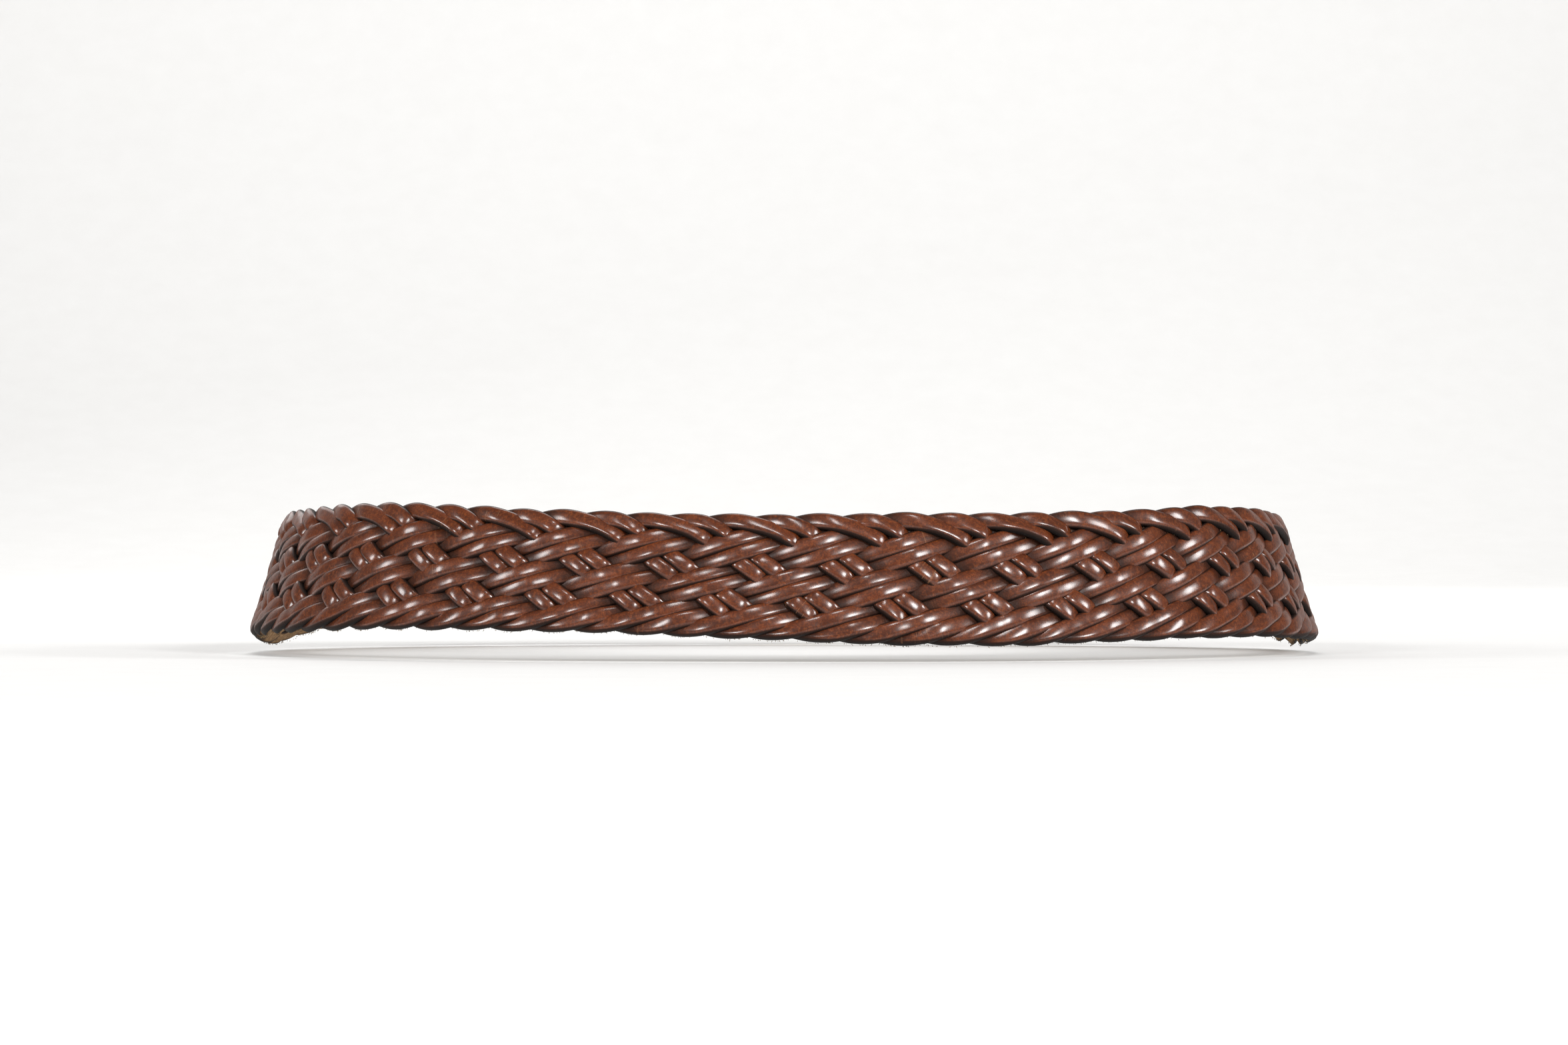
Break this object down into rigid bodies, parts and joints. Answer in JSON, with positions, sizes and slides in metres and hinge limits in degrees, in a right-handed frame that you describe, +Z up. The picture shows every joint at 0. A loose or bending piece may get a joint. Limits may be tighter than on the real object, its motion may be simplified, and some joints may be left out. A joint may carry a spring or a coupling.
{
  "type": "braided belt",
  "caption": "Flat braided leather belt, buckled into an oval loop as it sits on a waist, with leather end tabs, a plain bar buckle and a keeper at the back.",
  "frame": {"origin": "middle of the waist inside the loop, at the height of the band's middle line at the front centre", "axes": "+Z up, -Y to the front of the wearer, +Y to the back with the buckle, +X to the right as seen from the front"},
  "size_m": [0.2618, 0.2107, 0.0351],
  "materials": {
    "braid_leather": "waxed, semi-gloss, reddish brown, with near-black cut edges",
    "tab_leather": "smooth, semi-gloss, dark reddish brown",
    "buckle_metal": "aged, softly polished"
  },
  "bodies": {
    "root": {"braided_band": "braid_leather", "buckle_tab": "tab_leather", "tip_tab": "tab_leather", "keeper": "tab_leather", "buckle": "buckle_metal"}
  },
  "joints": []
}
